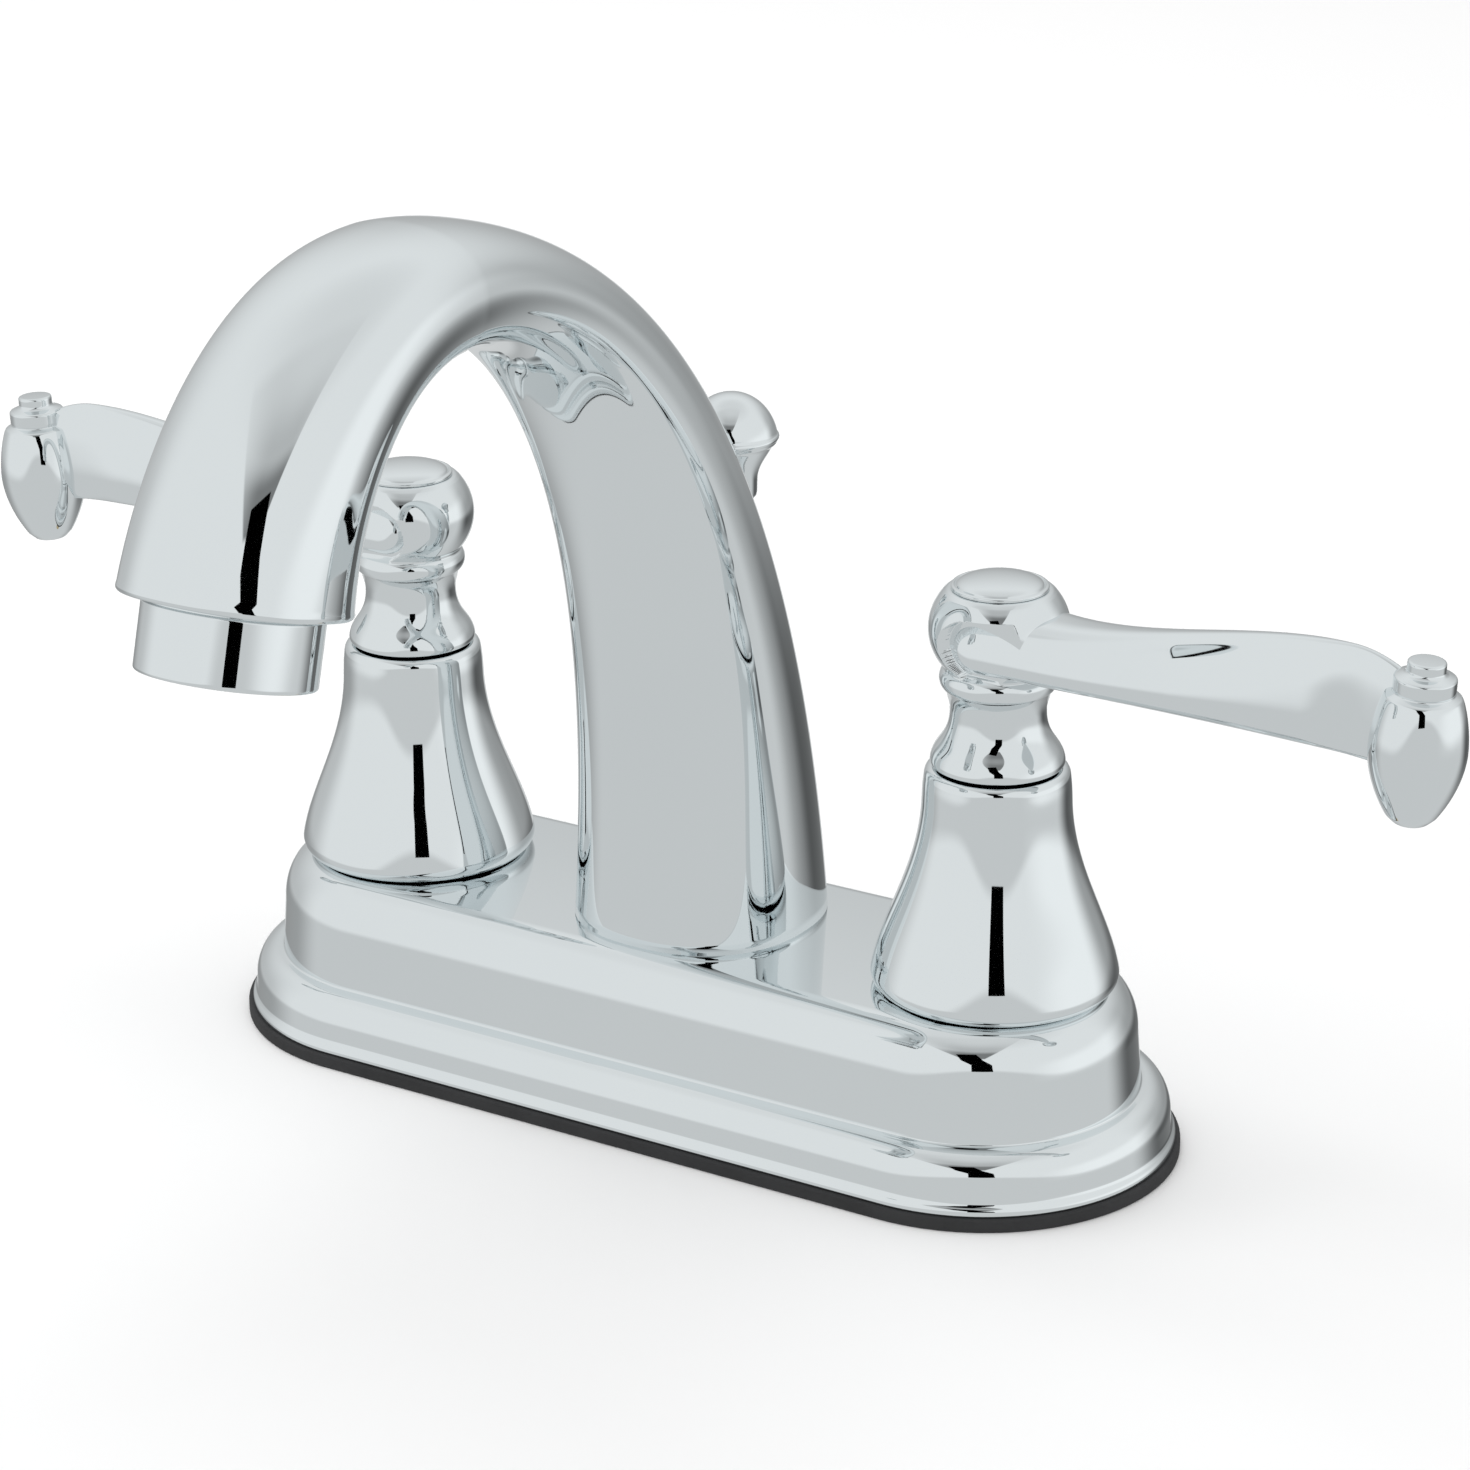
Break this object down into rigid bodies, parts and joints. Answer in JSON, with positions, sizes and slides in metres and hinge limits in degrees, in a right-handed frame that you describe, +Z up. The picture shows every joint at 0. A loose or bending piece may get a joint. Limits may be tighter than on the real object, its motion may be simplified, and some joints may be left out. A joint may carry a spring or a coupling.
{
  "type": "centerset bathroom faucet",
  "caption": "Two-handle centerset lavatory faucet on 4 inch centres with an arched spout, lever handles on bells and a lift knob, in polished chrome.",
  "frame": {"origin": "middle of the deck face under the gasket, midway between the two supply shanks", "axes": "+Z up out of the deck, -Y to the front where the spout reaches over the basin, +X to the right (cold side)"},
  "size_m": [0.2472, 0.1492, 0.2174],
  "materials": {
    "chrome": "polished",
    "brass": "machined",
    "copper": "drawn tube",
    "steel": "plain",
    "black_rubber": "matt",
    "white_plastic": "moulded",
    "ceramic": "ground"
  },
  "bodies": {
    "faucet": {"base_escutcheon": "chrome", "base_gasket": "black_rubber", "hot_valve_body": "brass", "cold_valve_body": "brass", "hot_cross_tube": "copper", "cold_cross_tube": "copper", "spout_tee": "brass", "hot_shank_washer": "black_rubber", "cold_shank_washer": "black_rubber", "hot_locknut": "white_plastic", "cold_locknut": "white_plastic", "hot_body_nut": "brass", "cold_body_nut": "brass", "hot_cartridge_body": "brass", "cold_cartridge_body": "brass", "hot_lower_disc": "ceramic", "cold_lower_disc": "ceramic", "hot_seat_seal": "black_rubber", "cold_seat_seal": "black_rubber", "hot_bell": "chrome", "cold_bell": "chrome", "spout": "chrome", "spout_hose": "steel", "hose_seal": "black_rubber", "stud_seal": "black_rubber", "spout_nut": "brass", "spout_washer": "steel", "aerator_housing": "chrome", "aerator_washer": "black_rubber", "aerator_insert": "white_plastic", "aerator_screen": "steel", "rod_bushing": "white_plastic"},
    "hot_lever": {"hot_handle": "chrome", "hot_index_button": "chrome", "hot_handle_screw": "steel", "hot_stem": "brass", "hot_upper_disc": "ceramic"},
    "cold_lever": {"cold_handle": "chrome", "cold_index_button": "chrome", "cold_handle_screw": "steel", "cold_stem": "brass", "cold_upper_disc": "ceramic"},
    "lift": {"lift_rod": "chrome", "lift_knob": "chrome"}
  },
  "joints": [
    {"name": "hot_turn", "type": "hinge", "parent": "faucet", "child": "hot_lever", "pos_m": [-0.0508, 0, 0.04], "axis": [0, 0, 1], "range_deg": [0, 90]},
    {"name": "cold_turn", "type": "hinge", "parent": "faucet", "child": "cold_lever", "pos_m": [0.0508, 0, 0.04], "axis": [0, 0, 1], "range_deg": [-90, 0]},
    {"name": "rod_slide", "type": "slide", "parent": "faucet", "child": "lift", "axis": [0, 0, 1], "range_m": [-0.006, 0.024]}
  ]
}
